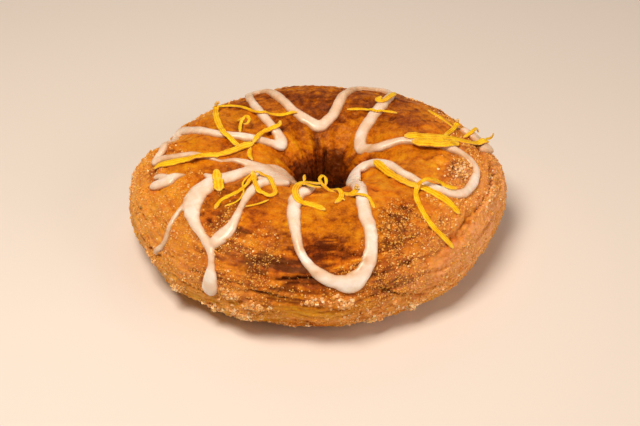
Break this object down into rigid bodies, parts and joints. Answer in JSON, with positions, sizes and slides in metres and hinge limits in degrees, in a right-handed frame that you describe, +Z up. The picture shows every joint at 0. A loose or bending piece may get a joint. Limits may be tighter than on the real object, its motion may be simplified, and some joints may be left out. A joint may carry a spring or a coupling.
{
  "type": "croissant doughnut",
  "caption": "Fried ring doughnut of layered croissant dough, rolled in sugar, with looping icing drizzle and shreds of lemon zest on top.",
  "frame": {"origin": "centre of the underside: the middle of the bounding box, on the surface the doughnut rests on", "axes": "+X to the right across the wider way, +Y away from the viewer, +Z up along the hole"},
  "size_m": [0.1032, 0.0936, 0.0291],
  "materials": {
    "dough": "browned fried crust, satin",
    "icing": "glossy cream icing",
    "zest": "moist lemon peel",
    "sugar": "clear and white crystals"
  },
  "bodies": {
    "root": {"croissant_doughnut": "dough"}
  },
  "joints": []
}
